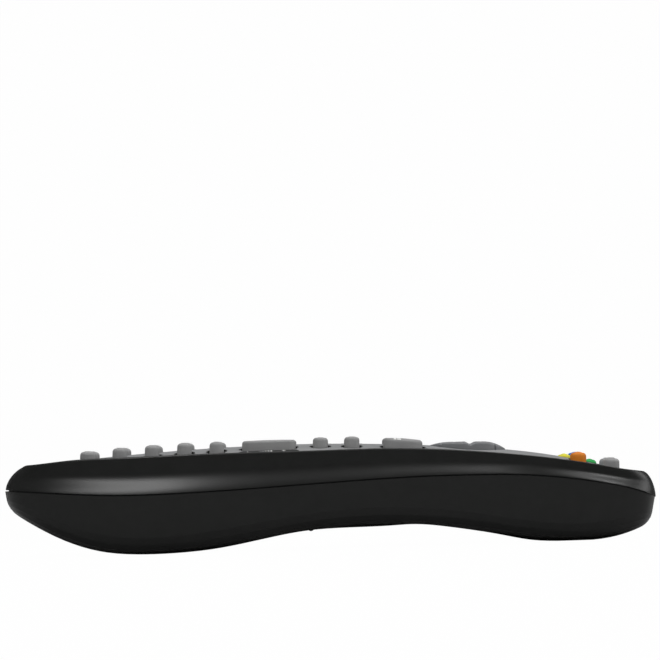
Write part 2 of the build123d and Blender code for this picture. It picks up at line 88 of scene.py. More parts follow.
def grainBump(tree, shader, grain, depth, detail=2.0):  # grain and depth in millimetres
    coords = addNode(tree, "ShaderNodeTexCoord").outputs["Object"]
    noise = addNode(tree, "ShaderNodeTexNoise", [("Vector", coords), ("Scale", 1 / (grain * mm)),
                                                 ("Detail", detail)])
    bump = addNode(tree, "ShaderNodeBump", [("Height", noise.outputs["Fac"]), ("Strength", 1.0),
                                            ("Distance", depth * mm)])
    tree.links.new(bump.outputs["Normal"], shader.inputs["Normal"])
    return coords


def variedColour(tree, shader, coords, base, other, patch):  # patch in millimetres
    noise = addNode(tree, "ShaderNodeTexNoise", [("Vector", coords), ("Scale", 1 / (patch * mm)),
                                                 ("Detail", patternSetup["patchDetail"])])
    ramp = addNode(tree, "ShaderNodeValToRGB", [("Fac", noise.outputs["Fac"])])
    for stop, place, colour in zip(ramp.color_ramp.elements, patternSetup["patchStops"], (base, other)):
        stop.position = place
        stop.color = srgb(colour)
    tree.links.new(ramp.outputs["Color"], shader.inputs["Base Color"])


def texturedBlackAbs():  # spark-eroded mould surface, which breaks the light up into a soft sheen
    tree, shader, material = newMaterial("moulded textured black ABS", {"Roughness": 0.35, "IOR": 1.46,
                                                                        "Specular IOR Level": 0.4})
    coords = grainBump(tree, shader, grain=0.5, depth=0.02, detail=3.0)
    variedColour(tree, shader, coords, "#121312", "#161716", patch=6)
    return material


def satinGreyPaint():  # sprayed plate, a little silver in the grey
    tree, shader, material = newMaterial("satin sprayed grey ABS", {"Roughness": 0.36, "IOR": 1.5, "Metallic": 0.15})
    coords = grainBump(tree, shader, grain=0.25, depth=0.004)
    variedColour(tree, shader, coords, "#979899", "#9fa0a1", patch=9)
    return material


def mouldedSilicone(name, base, other):  # rubber keycap with a dry matte skin
    tree, shader, material = newMaterial(name, {"Roughness": 0.6, "IOR": 1.41, "Specular IOR Level": 0.4,
                                                "Sheen Weight": 0.05})
    coords = grainBump(tree, shader, grain=0.2, depth=0.006)
    variedColour(tree, shader, coords, base, other, patch=4)
    return material


def plainMoulding(name, base, other, roughness, ior=1.5, grain=0.3, depth=0.004):  # smooth injection moulding
    tree, shader, material = newMaterial(name, {"Roughness": roughness, "IOR": ior})
    coords = grainBump(tree, shader, grain=grain, depth=depth)
    variedColour(tree, shader, coords, base, other, patch=5)
    return material


def platedSteel(name, base, other, roughness):  # barrel-plated small parts
    tree, shader, material = newMaterial(name, {"Roughness": roughness, "Metallic": 1.0})
    coords = grainBump(tree, shader, grain=0.15, depth=0.002)
    variedColour(tree, shader, coords, base, other, patch=1.5)
    return material


materials = {
    "shell_black": texturedBlackAbs(),
    "plate_grey": satinGreyPaint(),
    "key_grey": mouldedSilicone("moulded grey silicone", "#929292", "#989898"),
    "pad_grey": plainMoulding("moulded dark grey ABS", "#7b7c7e", "#818284", 0.4),
    "blue_key": mouldedSilicone("moulded blue silicone", "#2a74c0", "#2f7cc8"),
    "orange_key": mouldedSilicone("moulded orange silicone", "#d87a16", "#de8220"),
    "yellow_key": mouldedSilicone("moulded yellow silicone", "#dcd534", "#e2db3e"),
    "green_key": mouldedSilicone("moulded green silicone", "#1fa04a", "#27a852"),
    "window_dark": plainMoulding("polished infrared window", "#120808", "#160a0a", 0.08, ior=1.59, depth=0.0005),
    "board_green": plainMoulding("solder-masked glass epoxy", "#1f5a34", "#235f38", 0.3, grain=0.6, depth=0.01),
    "mat_rubber": mouldedSilicone("moulded silicone sheet", "#a2a2a0", "#a8a8a6"),
    "cell_jacket": plainMoulding("shrunk cell jacket", "#34393f", "#3a4046", 0.25),
    "contact_steel": platedSteel("nickel-plated steel", "#c9c8c2", "#bdbcb6", 0.28),
    "screw_steel": platedSteel("blackened screw steel", "#4a4a4c", "#404042", 0.4),
    "lamp_clear": plainMoulding("tinted lamp epoxy", "#59606e", "#5d6472", 0.1),
    "chip_black": plainMoulding("moulded chip epoxy", "#232323", "#272727", 0.5)}

slotOf = {part["node"]: part["material_slot"] for part in frame["record"]["subparts"]}
for name, node in nodes.items():
    node.data.materials.clear()
    node.data.materials.append(materials[slotOf[name]])
print("materials on", len(nodes), "CAD nodes")


# Shapes that the case pieces share, in millimetres of the mould
outline = {"length": 225, "tail": 28.6, "waist": 24.0, "head": 27.6, "bulgeAt": -60, "waistAt": 15, "headAt": 75,
           "tailRoundness": 4.0, "headRoundness": 4.5, "segments": 240, "crowding": 0.35, "turnStep": 0.01,
           "overrun": 16}
partingPoints = [(-112.3, 21.7), (-93.6, 20.8), (-72.8, 20.2), (-52.0, 20.9), (-31.3, 22.2), (-10.5, 23.8),
                 (10.3, 25.4), (31.1, 26.7), (51.8, 27.35), (65.7, 27.35), (79.5, 26.4), (93.4, 24.6),
                 (103.8, 22.5), (112.5, 19.9)]
rimPoints = [(-112.5, 30.0), (-102.6, 30.6), (-88.8, 32.2), (-74.9, 33.0), (-41.7, 34.5), (-8.4, 35.5),
             (24.8, 36.4), (47.0, 35.6), (69.2, 33.8), (91.3, 30.9), (101.0, 29.3), (108.5, 28.5)]
crownPoints = [(-100.5, 30.6), (-86.7, 32.2), (-66.6, 34.3), (-44.4, 36.15), (-11.2, 37.8), (13.7, 37.95),
               (33.8, 37.5), (60.8, 36.05), (77.5, 34.0), (94.8, 30.6), (103.8, 28.7)]
flarePoints = [(-112, 2.3), (-60, 2.3), (-20, 1.5), (15, 1.1), (45, 0.98), (70, 1.45), (95, 2.3), (112, 2.4)]


def sideCurve(points):  # natural cubic spline through the points, straight on past both ends
    reach = outline["length"] / 2 + outline["overrun"]
    (x0, z0), (x1, z1), (x2, z2), (x3, z3) = *points[:2], *points[-2:]
    xs = np.array([-reach, *[x for x, z in points], reach])
    zs = np.array([z0 - (z1 - z0) / (x1 - x0) * (x0 + reach), *[z for x, z in points],
                   z3 + (z3 - z2) / (x3 - x2) * (reach - x3)])
    gaps = np.diff(xs)
    slopes = np.diff(zs) / gaps
    system = np.eye(len(xs))
    bends = np.zeros(len(xs))
    for i in range(1, len(xs) - 1):
        system[i, i - 1:i + 2] = gaps[i - 1], 2 * (gaps[i - 1] + gaps[i]), gaps[i]
        bends[i] = 6 * (slopes[i] - slopes[i - 1])
    bends = np.linalg.solve(system, bends)

    def height(x):
        i = int(np.clip(np.searchsorted(xs, x) - 1, 0, len(gaps) - 1))
        left, right, gap = x - xs[i], xs[i + 1] - x, gaps[i]
        curved = (bends[i] * right ** 3 + bends[i + 1] * left ** 3) / (6 * gap)
        return curved + (zs[i] / gap - bends[i] * gap / 6) * right + (zs[i + 1] / gap - bends[i + 1] * gap / 6) * left
    return height


partingHeight = sideCurve(partingPoints)  # the seam between the two shells
rimHeight = sideCurve(rimPoints)
crownHeight = sideCurve(crownPoints)  # the middle line of the face plate
flareDepth = sideCurve(flarePoints)  # how far the wall draws in above the seam


def ease(share):
    return (1 - cos(pi * min(max(share, 0), 1))) / 2


def halfWidth(x):
    if x < outline["waistAt"]:
        share = ease((x - outline["bulgeAt"]) / (outline["waistAt"] - outline["bulgeAt"]))
        return outline["tail"] + (outline["waist"] - outline["tail"]) * share
    share = ease((x - outline["waistAt"]) / (outline["headAt"] - outline["waistAt"]))
    return outline["waist"] + (outline["head"] - outline["waist"]) * share


def outlinePoint(angle):
    x = outline["length"] / 2 * cos(angle)
    power = outline["headRoundness"] if x > 0 else outline["tailRoundness"]
    side = max(1 - abs(cos(angle)) ** power, 0) ** (1 / power)
    return x, copysign(halfWidth(x) * side, sin(angle))


def outlineStations():  # point and outward direction at each step round the case, closer at the corners
    found = []
    nudge = outline["turnStep"]
    for step in range(outline["segments"]):
        turn = 2 * pi * step / outline["segments"]
        angle = turn - outline["crowding"] * sin(2 * turn)
        x, y = outlinePoint(angle)
        (x0, y0), (x1, y1) = outlinePoint(angle - nudge), outlinePoint(angle + nudge)
        run = hypot(x1 - x0, y1 - y0)
        found.append((x, y, (y1 - y0) / run, (x0 - x1) / run))
    return found


stations = outlineStations()


def outlineRing(inset, level):  # inset(x, endShare) inwards and level(x, y) up, both in millimetres
    ring = []
    for x, y, nx, ny in stations:
        distance = inset(x, nx * nx)
        innerX, innerY = x - nx * distance, y - ny * distance
        ring.append(placed(innerX, innerY, level(innerX, innerY)))
    return ring


meshSetup = {"merge": 1e-6, "sharpFrom": 40}


def loftRings(rings, closed=False):  # grows a tube ring by ring from a circle of as many points
    work = bmesh.new()
    place = work.verts.layers.int.new("place")
    verts = bmesh.ops.create_circle(work, segments=len(rings[0]), radius=1)["verts"]
    for step, vert in enumerate(verts):
        vert[place] = step
        vert.co = rings[0][step]
    edges = work.edges[:]
    for ring in rings[1:]:
        grown = bmesh.ops.extrude_edge_only(work, edges=edges)["geom"]
        edges = [part for part in grown if isinstance(part, bmesh.types.BMEdge)]
        for vert in grown:
            if isinstance(vert, bmesh.types.BMVert):
                vert.co = ring[vert[place]]
    if not closed:
        bmesh.ops.holes_fill(work, edges=work.edges[:])
    bmesh.ops.remove_doubles(work, verts=work.verts[:], dist=meshSetup["merge"])
    bmesh.ops.recalc_face_normals(work, faces=work.faces[:])
    return work


def finishPiece(work, name, slot, body, replaced=(), sharp=meshSetup["sharpFrom"]):
    mesh = bpy.data.meshes.new(name)
    work.to_mesh(mesh)
    work.free()
    mesh.shade_smooth()
    mesh.set_sharp_from_angle(angle=radians(sharp))
    mesh.materials.append(materials[slot])
    piece = bpy.data.objects.new(name, mesh)
    bpy.context.scene.collection.objects.link(piece)
    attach(piece, body)
    if replaced:
        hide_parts(*replaced)
    return piece


# Upper shell: a soft flare down to the seam, a steep wall and a rounded rim round the face plate
upperShell = {"seamGap": 0.5, "seamInset": 0.12, "gapEndsAt": 107.5, "gapEndsOver": 3.0, "gapCloses": 0.92,
              "wallSteps": 40, "wallLean": 0.15, "flareStart": 0.17, "flareEnd": 0.56,
              "tailSetBack": 0.4, "tailDepth": 8.6, "headDepth": 4.6, "endCurve": (1.7, 0.55),
              "rimStart": 0.95, "rimRadius": 0.5, "rimLand": 2.5, "tailLand": 10.0, "headLand": 6.5,
              "landDrop": 0.02, "mouthBevel": 0.1, "coveAtWaist": 1.5, "coveAtBulge": 3.0,
              "ledgeWidth": 0.1, "ledgeThickness": 1.4, "ledgeSlope": 0.3, "innerWall": 1.6,
              "wall": 2.75, "tongueDepth": 1.6, "tongueThickness": 0.7}
plateSetup = {"thickness": 2.0, "crownRadius": 85}


def coveDepth(x):
    flare = (halfWidth(x) - outline["waist"]) / (outline["tail"] - outline["waist"])
    return upperShell["coveAtWaist"] + (upperShell["coveAtBulge"] - upperShell["coveAtWaist"]) * flare


def flareShare(h):  # soft step, steepest a little over a fifth of the way up the wall
    start, end = upperShell["flareStart"], upperShell["flareEnd"]
    steps = [3 * t * t - 2 * t ** 3 for t in (min(start + h * (1 - start) / end, 1), start)]
    return (steps[0] - steps[1]) / (1 - steps[1])


def wallInset(h):  # how far the wall stands in from the outline at a share h of its height
    turned = max(h - upperShell["rimStart"], 0) / (1 - upperShell["rimStart"])
    rim = upperShell["rimRadius"] * (1 - sqrt(max(1 - turned * turned, 0)))
    inner, outer = upperShell["endCurve"]
    ending = 1 - (1 - h ** inner) ** outer

    def inset(x, endShare):
        side = upperShell["seamInset"] + flareDepth(x) * flareShare(h) + upperShell["wallLean"] * h + rim
        end = upperShell["headDepth"] * ending
        if x < 0:
            end = upperShell["tailSetBack"] + (upperShell["tailDepth"] - upperShell["tailSetBack"]) * ending
        return side + (end - side) * endShare
    return inset


def wallLevel(h):
    def level(x, y):
        closed = ease((x - upperShell["gapEndsAt"]) / upperShell["gapEndsOver"])  # no gap at the head's very end
        seam = partingHeight(x) + upperShell["seamGap"] * (0.5 - upperShell["gapCloses"] * closed)
        return seam + h * (rimHeight(x) - seam)
    return level


def plateEdge(extra):
    def inset(x, endShare):
        side = coveDepth(x) + upperShell["rimLand"]
        end = upperShell["headLand"] if x > 0 else upperShell["tailLand"]
        return side + (end - side) * endShare + extra
    return inset


def plateLevel(x, y, lift):  # the plate's crowned top, raised by lift
    return crownHeight(x) - y * y / (2 * plateSetup["crownRadius"]) + lift


def makeUpperShell():
    steps = upperShell["wallSteps"]
    shares = [(1 - cos(pi * step / steps)) / 2 for step in range(steps + 1)]
    rings = [outlineRing(wallInset(h), wallLevel(h)) for h in shares]
    drop, bevel, ledge = upperShell["landDrop"], upperShell["mouthBevel"], upperShell["ledgeWidth"]
    pocketFloor = -plateSetup["thickness"]
    ledgeUnder = pocketFloor - upperShell["ledgeThickness"]
    for inset, fall in ((-bevel, drop), (0, drop + bevel)):  # the land on the rim and the edge of its mouth
        rings.append(outlineRing(plateEdge(inset), lambda x, y: rimHeight(x) - fall))
    for inset, lift in ((0, pocketFloor), (ledge, pocketFloor), (ledge, ledgeUnder),
                        (0, ledgeUnder - upperShell["ledgeSlope"])):
        rings.append(outlineRing(plateEdge(inset), lambda x, y: plateLevel(x, y, lift)))
    rings.append(outlineRing(lambda x, endShare: coveDepth(x) + upperShell["innerWall"], wallLevel(0.5)))
    wall, tongue = upperShell["wall"], upperShell["tongueDepth"]
    for depth, fall in ((wall + upperShell["tongueThickness"], tongue), (wall, tongue), (wall, 0)):
        rings.append(outlineRing(lambda x, endShare: depth, lambda x, y: wallLevel(0)(x, y) - fall))
    rings.append(rings[0])
    finishPiece(loftRings(rings, closed=True), "upper_shell", "shell_black", "case", ["top_case"])


makeUpperShell()
print("upper shell made")


# Silicone keys: drafted sides, a rounded shoulder and a faintly domed top, standing on the CAD key's own place
capKinds = {
    "number": {"corner": 2.4, "shoulder": 1.3, "dome": 0.2, "tilt": 0, "drop": 0},
    "rocker": {"corner": 3.2, "shoulder": 0.95, "dome": 0.15, "tilt": -1.7, "drop": -0.25},
    "round": {"corner": 5.2, "shoulder": 1.1, "dome": 0.3, "tilt": 0, "drop": 0.6},
    "small": {"corner": 2.5, "shoulder": 1.15, "dome": 0.15, "tilt": 0, "drop": 0},
    "large": {"corner": 3.9, "shoulder": 1.2, "dome": 0.2, "tilt": 3.6, "drop": -0.1},
    "colour": {"corner": 2.4, "shoulder": 1.3, "dome": 0.35, "tilt": 0, "drop": 0}}
keyShape = {"cadFlange": 0.8, "flange": 0.3, "flangeThickness": 0.8, "flangeGap": 0.25, "lean": 0.1,
            "sidePoints": 12, "straightLeast": 0.02, "cornerLeast": 0.15, "shoulderSteps": 7, "shoulderMost": 0.9,
            "domeSteps": 4, "domeMiddle": 0.5, "labelShare": 0.6, "sharpFrom": 50}
# black ring laid on the plate round each key: painted shade for the shadow in the gap
shadeRingShape = {"reach": 1.0, "edge": 0.45, "lift": 0.04, "depth": 0.5}
# black patch beside each rocker: painted shade for the darker plate there
shadePanelShape = {"endReach": 1.0, "sideReach": 3.2, "lift": 0.12, "depth": 0.3, "fillSteps": 4, "fillMiddle": 0.3,
              "straightLeast": 0.01}
capNames = {
    "number": ["clear_key", "key_0", "enter_key", "key_7", "key_8", "key_9", "key_4", "key_5", "key_6", "key_1",
               "key_2", "key_3", "record_key", "stop_key", "pause_key"],
    "rocker": ["channel_rocker", "volume_rocker"],
    "round": ["mute_key", "home_key"],
    "small": ["rewind_key", "play_key", "forward_key", "skip_back_key", "guide_key", "skip_ahead_key"],
    "large": ["back_key", "info_key"],
    "colour": ["blue_key", "orange_key", "yellow_key", "green_key", "power_key", "media_key"]}


def mouldExtent(node):  # lowest and highest corner of a CAD node in the mould's millimetres
    shift = Vector((resting["along"], 0, resting["up"]))
    points = np.array([node.matrix_world @ vert.co - shift for vert in node.data.vertices]) / mm
    turned = np.column_stack([points @ np.array(alongAxis), points[:, 1], points @ np.array(upAxis)])
    return turned.min(axis=0), turned.max(axis=0)


def roundedRing(centre, halfX, halfY, corner, level):
    ring = []
    for quarter, (signX, signY) in enumerate(((1, 1), (-1, 1), (-1, -1), (1, -1))):
        for step in range(keyShape["sidePoints"]):
            angle = pi / 2 * (quarter + step / (keyShape["sidePoints"] - 1))
            x = centre[0] + signX * (halfX - corner) + corner * cos(angle)
            y = centre[1] + signY * (halfY - corner) + corner * sin(angle)
            ring.append(placed(x, y, level(x, y)))
    return ring


def makeWell(name, centre, halfX, halfY, corner):  # a black ring laid on the plate round a key: painted shade for the shadow in the gap
    rings = []
    for grow, lift in ((shadeRingShape["reach"], shadeRingShape["lift"]), (shadeRingShape["edge"], shadeRingShape["lift"]),
                       (shadeRingShape["edge"], -shadeRingShape["depth"])):
        rings.append(roundedRing(centre, halfX + grow, halfY + grow, corner + grow,
                                 lambda x, y: plateLevel(x, y, lift)))
    finishPiece(loftRings([*rings, rings[0]], closed=True), name, "shell_black", "case")


def makePanel(name, centre, halfX, halfY):  # black patch beside a rocker, which carries its marks: painted shade for the darker plate there
    halfReach = shadePanelShape["sideReach"] / 2
    middle = (centre[0], centre[1] + copysign(halfY + halfReach, centre[1]))

    def ring(share, lift):
        return roundedRing(middle, (halfX + shadePanelShape["endReach"]) * share, halfReach * share,
                           halfReach * share - shadePanelShape["straightLeast"], lambda x, y: plateLevel(x, y, lift))
    steps = shadePanelShape["fillSteps"]
    rings = [ring(1, -shadePanelShape["depth"])]
    rings += [ring(1 - step / (steps + shadePanelShape["fillMiddle"]), shadePanelShape["lift"]) for step in range(steps + 1)]
    finishPiece(loftRings(rings), name, "shell_black", "case")


def makeCap(name, kind):
    low, high = mouldExtent(nodes[name])
    centre = (low + high) / 2
    halfX, halfY = (high - low)[:2] / 2 - keyShape["cadFlange"]
    shape = capKinds[kind]
    corner = min(shape["corner"], halfX - keyShape["straightLeast"], halfY - keyShape["straightLeast"])
    shoulder = min(shape["shoulder"], corner * keyShape["shoulderMost"])
    slope = tan(radians(shape["tilt"]))
    top = high[2] - abs(slope) * halfX - shape["drop"]
    seat = plateLevel(centre[0], halfY + abs(centre[1]) + keyShape["cadFlange"],
                      -plateSetup["thickness"] - keyShape["flangeGap"])

    def topLevel(drop):
        return lambda x, y: top - drop - slope * (x - centre[0])

    def shoulderLevel(x, y):  # the rounded edge along a long side
        fall = min(max(shoulder - halfY + keyShape["lean"] + abs(y - centre[1]), 0), shoulder)
        return topLevel(shape["dome"] + shoulder - sqrt(shoulder ** 2 - fall ** 2))(x, y)

    flange = keyShape["flange"]
    rings = [roundedRing(centre, halfX + flange, halfY + flange, corner,
                         lambda x, y: seat - keyShape["flangeThickness"]),
             roundedRing(centre, halfX + flange, halfY + flange, corner, lambda x, y: seat),
             roundedRing(centre, halfX, halfY, corner, lambda x, y: seat)]
    for step in range(keyShape["shoulderSteps"] + 1):
        turn = pi / 2 * step / keyShape["shoulderSteps"]
        inset = keyShape["lean"] + shoulder * (1 - cos(turn))
        rings.append(roundedRing(centre, halfX - inset, halfY - inset, max(corner - inset, keyShape["cornerLeast"]),
                                 topLevel(shape["dome"] + shoulder * (1 - sin(turn)))))
    inset = keyShape["lean"] + shoulder
    for step in range(1, keyShape["domeSteps"] + 1):
        share = 1 - step / (keyShape["domeSteps"] + keyShape["domeMiddle"])
        rings.append(roundedRing(centre, (halfX - inset) * share, (halfY - inset) * share,
                                 max(corner - inset, keyShape["cornerLeast"]) * share,
                                 topLevel(shape["dome"] * share ** 2)))
    finishPiece(loftRings(rings), name + "_cap", slotOf[name], name + "_body", [name], keyShape["sharpFrom"])
    # a black ring of painted shade on the plate round the key
    makeWell(name + "_painted_shade_ring", centre, halfX, halfY, corner)
    # beside a rocker, a black patch of painted shade under its marks
    if kind == "rocker":
        makePanel(name + "_painted_shade_panel", centre, halfX, halfY)
    outward = halfY - keyShape["lean"] - shoulder * keyShape["labelShare"]
    return {"centre": centre, "level": topLevel(0), "shoulderLevel": shoulderLevel,
            "shoulderAt": centre[1] + copysign(outward, centre[1])}


caps = {name: makeCap(name, kind) for kind, names in capNames.items() for name in names}
print("caps on", len(caps), "keys")


# Printed marks: plain signs in white ink, laid into the key tops and onto the black patches of painted shade beside
# the rockers
inkSetup = {"sink": 0.12, "proud": 0.02, "digit": 3.9, "sign": 2.4, "label": 2.4, "labelAt": -1.9,
            "discSides": 28, "digitSteps": 6, "merge": 1e-4, "longEdge": 0.25, "cuts": 2}
rockerMarks = {"at": -22.0, "side": 19.6, "size": 1.7, "spread": 6.2, "lift": 0.16}
signs = {  # strokes as shares of the sign's size: bars are (u, v, width, height, turn), the rest (u, v, size, turn)
    "play": [("wedge", 0, 0, 1, 0)],
    "forward": [("wedge", -0.3, 0, 0.75, 0), ("wedge", 0.35, 0, 0.75, 0)],
    "rewind": [("wedge", -0.35, 0, 0.75, 180), ("wedge", 0.3, 0, 0.75, 180)],
    "skipAhead": [("wedge", -0.15, 0, 0.85, 0), ("bar", 0.42, 0, 0.15, 0.8, 0)],
    "skipBack": [("wedge", 0.15, 0, 0.85, 180), ("bar", -0.42, 0, 0.15, 0.8, 0)],
    "pause": [("bar", -0.22, 0, 0.2, 0.8, 0), ("bar", 0.22, 0, 0.2, 0.8, 0)],
    "stop": [("bar", 0, 0, 0.75, 0.75, 0)],
    "record": [("disc", 0, 0, 0.8, 0)],
    "plus": [("bar", 0, 0, 0.8, 0.16, 0), ("bar", 0, 0.24, 0.16, 0.32, 0), ("bar", 0, -0.24, 0.16, 0.32, 0)],
    "minus": [("bar", 0, 0, 0.8, 0.16, 0)],
    "list": [("bar", 0, 0.3, 0.9, 0.13, 0), ("bar", 0, 0, 0.9, 0.13, 0), ("bar", 0, -0.3, 0.9, 0.13, 0)],
    "home": [("wedge", 0, 0.2, 0.95, 90), ("bar", 0, -0.28, 0.56, 0.4, 0)],
    "back": [("wedge", -0.25, 0, 0.75, 180), ("bar", 0.25, 0, 0.55, 0.16, 0)],
    "info": [("disc", 0, 0.38, 0.22, 0), ("bar", 0, -0.12, 0.18, 0.6, 0)],
    "cross": [("bar", 0, 0, 1, 0.15, 45), ("bar", 0, 0, 1, 0.15, -45)],
    "enter": [("wedge", -0.2, -0.15, 0.65, 180), ("bar", 0.2, -0.15, 0.45, 0.14, 0), ("bar", 0.42, 0.1, 0.14, 0.6, 0)],
    "power": [("bar", 0, 0.25, 0.15, 0.5, 0), ("bar", 0, -0.42, 0.7, 0.13, 0), ("bar", -0.35, -0.1, 0.13, 0.6, 0),
              ("bar", 0.35, -0.1, 0.13, 0.6, 0)],
    "screen": [("bar", 0, 0.3, 1, 0.12, 0), ("bar", 0, -0.3, 1, 0.12, 0), ("bar", -0.45, 0, 0.12, 0.6, 0),
               ("bar", 0.45, 0, 0.12, 0.6, 0)],
    "ramp": [("bar", 0, step * 0.55, 0.45 + 0.2 * step, 0.28, 0) for step in (-2, -1, 0, 1, 2)],
    "label": [("bar", 0, -0.32, 0.3, 0.4, 0), ("bar", 0, 0.25, 0.3, 0.55, 0)],
    "speaker": [("bar", -0.3, 0, 0.3, 0.35, 0), ("wedge", 0.05, 0, 0.9, 180)]}
keySigns = {
    **{f"key_{digit}": str(digit) for digit in range(10)}, "clear_key": "cross", "enter_key": "enter",
    "record_key": "record", "stop_key": "stop", "pause_key": "pause", "mute_key": "speaker", "rewind_key": "rewind",
    "play_key": "play", "forward_key": "forward", "skip_back_key": "skipBack", "guide_key": "list",
    "skip_ahead_key": "skipAhead", "back_key": "back", "info_key": "info", "home_key": "home",
    "power_key": "power", "media_key": "screen"}
whiteInk = plainMoulding("screen-printed white ink", "#e6e6e4", "#ecece9", 0.5)


def addStroke(work, kind, u, v, *sizes):
    turn = Matrix.Rotation(radians(sizes[-1]), 4, "Z")
    if kind == "bar":
        made = bmesh.ops.create_grid(work, x_segments=1, y_segments=1, size=0.5)["verts"]
        shape = turn @ Matrix.Diagonal((sizes[0], sizes[1], 1, 1))
    else:
        sides = 3 if kind == "wedge" else inkSetup["discSides"]
        made = bmesh.ops.create_circle(work, segments=sides, radius=sizes[0] * 0.5, cap_ends=True)["verts"]
        shape = turn @ Matrix.Rotation(radians(-90), 4, "Z")
    bmesh.ops.transform(work, matrix=Matrix.Translation((u, v, 0)) @ shape, verts=made)


def addDigit(work, text):
    curve = bpy.data.curves.new("digit", "FONT")
    curve.body = text
    curve.align_x = curve.align_y = "CENTER"
    curve.resolution_u = inkSetup["digitSteps"]
    holder = bpy.data.objects.new("digit", curve)
    bpy.context.scene.collection.objects.link(holder)
    mesh = bpy.data.meshes.new_from_object(holder.evaluated_get(bpy.context.evaluated_depsgraph_get()))
    work.from_mesh(mesh)
    bpy.data.objects.remove(holder)
    bpy.data.curves.remove(curve)
    bpy.data.meshes.remove(mesh)


def printMark(name, sign, size, centre, level, slot, body):  # reads upright with the lamp end up
    work = bmesh.new()
    if sign in signs:
        for stroke in signs[sign]:
            addStroke(work, *stroke)
    else:
        addDigit(work, sign)
    bmesh.ops.remove_doubles(work, verts=work.verts[:], dist=inkSetup["merge"])
    longEdges = [edge for edge in work.edges if edge.calc_length() > inkSetup["longEdge"]]
    bmesh.ops.subdivide_edges(work, edges=longEdges, cuts=inkSetup["cuts"], use_grid_fill=True)
    sunk = bmesh.ops.extrude_face_region(work, geom=work.faces[:])["geom"]
    for vert in sunk:
        if isinstance(vert, bmesh.types.BMVert):
            vert.co.z = -inkSetup["sink"]
    bmesh.ops.recalc_face_normals(work, faces=work.faces[:])
    for vert in work.verts:
        x, y = centre[0] + vert.co.y * size, centre[1] - vert.co.x * size
        vert.co = placed(x, y, level(x, y) + inkSetup["proud"] + vert.co.z)
    mark = finishPiece(work, name, slot, body)
    mark.data.materials[0] = whiteInk


for name, sign in keySigns.items():
    size = inkSetup["digit"] if name.startswith("key_") else inkSetup["sign"]
    printMark(name + "_mark", sign, size, caps[name]["centre"], caps[name]["level"], slotOf[name], name + "_body")

for name in capNames["large"]:  # a short print on the rounded edge that faces outwards
    at = (caps[name]["centre"][0] + inkSetup["labelAt"], caps[name]["shoulderAt"])
    printMark(name + "_label", "label", inkSetup["label"], at, caps[name]["shoulderLevel"], slotOf[name],
              name + "_body")

for side, rocker, middleSign in ((1, "channel", "screen"), (-1, "volume", "ramp")):
    for step, sign in ((-1, "minus"), (1, "plus"), (0, middleSign)):
        at = (rockerMarks["at"] + step * rockerMarks["spread"], side * rockerMarks["side"])
        printMark(f"{rocker}_{sign}_mark", sign, rockerMarks["size"], at,
                  lambda x, y: plateLevel(x, y, rockerMarks["lift"]), "plate_grey", "case")
print("printed marks made")


# Navigation pad: four arrow keys under one shallow ridge that starts flush at the tail side, with a groove across
padShape = {"at": 47.6, "radius": 13.3, "inner": 6.1, "gap": 0.35, "arcPoints": 60, "sidePoints": 9, "seat": 3.2,
            "edge": 0.6, "shoulder": ((1, 1), (0.985, 0.4), (0.96, 0.1), (0.92, 0)), "fillSteps": 6, "middle": 0.01,
            "crownShare": 0.6, "grooveAt": 48.4, "grooveHalf": 1.8, "grooveDepth": 0.9, "signAt": 8.0, "sign": 1.5}
padRidge = sideCurve([(34.3, 37.35), (37.5, 38.2), (43.4, 38.72), (47.2, 38.88), (50.7, 38.85), (56.6, 38.3),
                      (59.0, 37.3), (61.2, 36.0)])


def padLevel(x, y):
    groove = padShape["grooveDepth"] * (1 - abs(x - padShape["grooveAt"]) / padShape["grooveHalf"])
    return padRidge(x) - padShape["crownShare"] * y * y / (2 * plateSetup["crownRadius"]) - max(groove, 0)


def padPoint(radius, turn):
    return Vector((padShape["at"] + radius * cos(turn), radius * sin(turn)))


def makeArrow(name, angle):
    outer, inner, gap = padShape["radius"], padShape["inner"], padShape["gap"]
    points, sides = padShape["arcPoints"], padShape["sidePoints"]
    facing = radians(angle)
    loop = []
    for radius, far, direction in ((outer, inner, 1), (inner, outer, -1)):  # an arc, then the side that leads on
        half = pi / 4 - gap / radius
        loop += [padPoint(radius, facing + direction * half * (2 * step / (points - 1) - 1)) for step in range(points)]
        for step in range(1, sides):
            along = radius + (far - radius) * step / sides
            loop.append(padPoint(along, facing + direction * (pi / 4 - gap / along)))
    centre = padPoint((outer + inner) / 2, facing)

    def ring(share, drop):
        shrunk = [centre + (point - centre) * share for point in loop]
        return [placed(x, y, padLevel(x, y) - drop) for x, y in shrunk]

    topShare = padShape["shoulder"][-1][0]
    rings = [ring(1, padShape["seat"])]
    rings += [ring(share, padShape["edge"] * drop) for share, drop in padShape["shoulder"]]
    rings += [ring(topShare * (1 - step / padShape["fillSteps"]) + padShape["middle"], 0)
              for step in range(1, padShape["fillSteps"] + 1)]
    finishPiece(loftRings(rings), name + "_cap", slotOf[name], name + "_body", [name], keyShape["sharpFrom"])


for name, angle in (("right_arrow", 0), ("up_arrow", 90), ("left_arrow", 180), ("down_arrow", 270)):
    makeArrow(name, angle)
    signs[name] = [("wedge", 0, 0, 1, angle + 90)]
    printMark(name + "_mark", name, padShape["sign"], padPoint(padShape["signAt"], radians(angle)), padLevel,
              slotOf[name], name + "_body")
print("navigation pad made")


# Stage: white floor and backdrop, one large soft lamp overhead and three smaller ones that draw the highlights
stageSetup = {"floorSize": 8.0, "backdropAt": 2.2, "backdropHeight": 4.0, "paper": "#b4b4b4", "cameraShare": 0.99,
              "worldStrength": 0.2}
lampSetup = {  # azimuth and elevation in degrees, distance, width and height in metres, watts
    "overhead softbox": (180, 76, 1.3, 1.1, 0.8, 7.4),
    "front softbox": (-15, 46, 1.3, 0.14, 0.2, 5.3),
    "right softbox": (75, 55, 1.2, 0.2, 0.2, 2.9),
    "low right softbox": (100, 26, 1.3, 0.8, 0.5, 3.2)}


